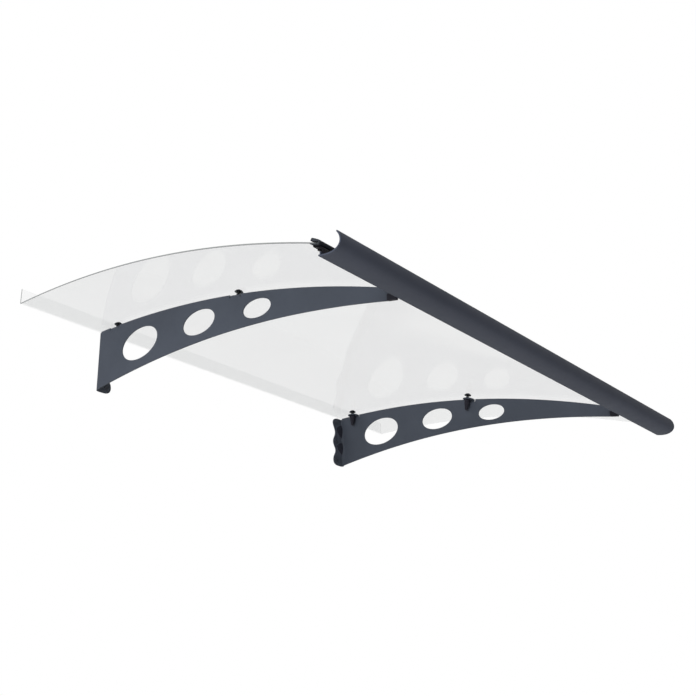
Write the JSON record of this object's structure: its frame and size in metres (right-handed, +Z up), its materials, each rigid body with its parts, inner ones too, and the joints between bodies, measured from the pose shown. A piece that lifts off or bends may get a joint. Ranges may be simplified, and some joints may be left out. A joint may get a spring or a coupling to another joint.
{
  "type": "door canopy",
  "caption": "Wall-mounted door canopy: clear arched panel with wall upstand on folded steel brackets, with a front channel and a rain gutter.",
  "frame": {"origin": "on the wall's face, which is the plane of the bracket flanges' back faces, in the middle of the width and 22 mm above the bracket webs' top back corner", "axes": "+X along the wall to the right as seen from the street side, +Y into the wall, so the canopy reaches out to -Y, +Z up"},
  "size_m": [1.36, 0.9713, 0.2615],
  "materials": {
    "clear_panel": "clear, glossy, 3 mm sheet",
    "bracket_paint": "slate grey satin powder coat",
    "gutter_paint": "anthracite satin powder coat",
    "channel_plastic": "black, lightly satin extrusion",
    "black_plastic": "black moulded, fine grain",
    "grey_plastic": "slate grey moulded, satin",
    "seal_rubber": "matt black",
    "black_screw": "blackened steel"
  },
  "bodies": {
    "root": {"roof_panel": "clear_panel", "front_channel": "channel_plastic", "gutter_profile": "gutter_paint", "bracket_left": "bracket_paint", "bracket_right": "bracket_paint", "tip_clip_left": "black_plastic", "tip_clip_right": "black_plastic", "gutter_hanger_left": "black_plastic", "gutter_hanger_right": "black_plastic", "fixing_cap_left_rear": "black_plastic", "sealing_ring_left_rear": "seal_rubber", "spacer_sleeve_left_rear": "black_plastic", "cone_nut_left_rear": "black_plastic", "fixing_cap_left_front": "black_plastic", "sealing_ring_left_front": "seal_rubber", "spacer_sleeve_left_front": "black_plastic", "cone_nut_left_front": "black_plastic", "tip_screw_left": "black_screw", "hanger_screw_left": "black_screw", "wall_plug_left_top": "grey_plastic", "wall_plug_left_middle": "grey_plastic", "wall_plug_left_bottom": "grey_plastic", "fixing_cap_right_rear": "black_plastic", "sealing_ring_right_rear": "seal_rubber", "spacer_sleeve_right_rear": "black_plastic", "cone_nut_right_rear": "black_plastic", "fixing_cap_right_front": "black_plastic", "sealing_ring_right_front": "seal_rubber", "spacer_sleeve_right_front": "black_plastic", "cone_nut_right_front": "black_plastic", "tip_screw_right": "black_screw", "hanger_screw_right": "black_screw", "wall_plug_right_top": "grey_plastic", "wall_plug_right_middle": "grey_plastic", "wall_plug_right_bottom": "grey_plastic"}
  },
  "joints": []
}
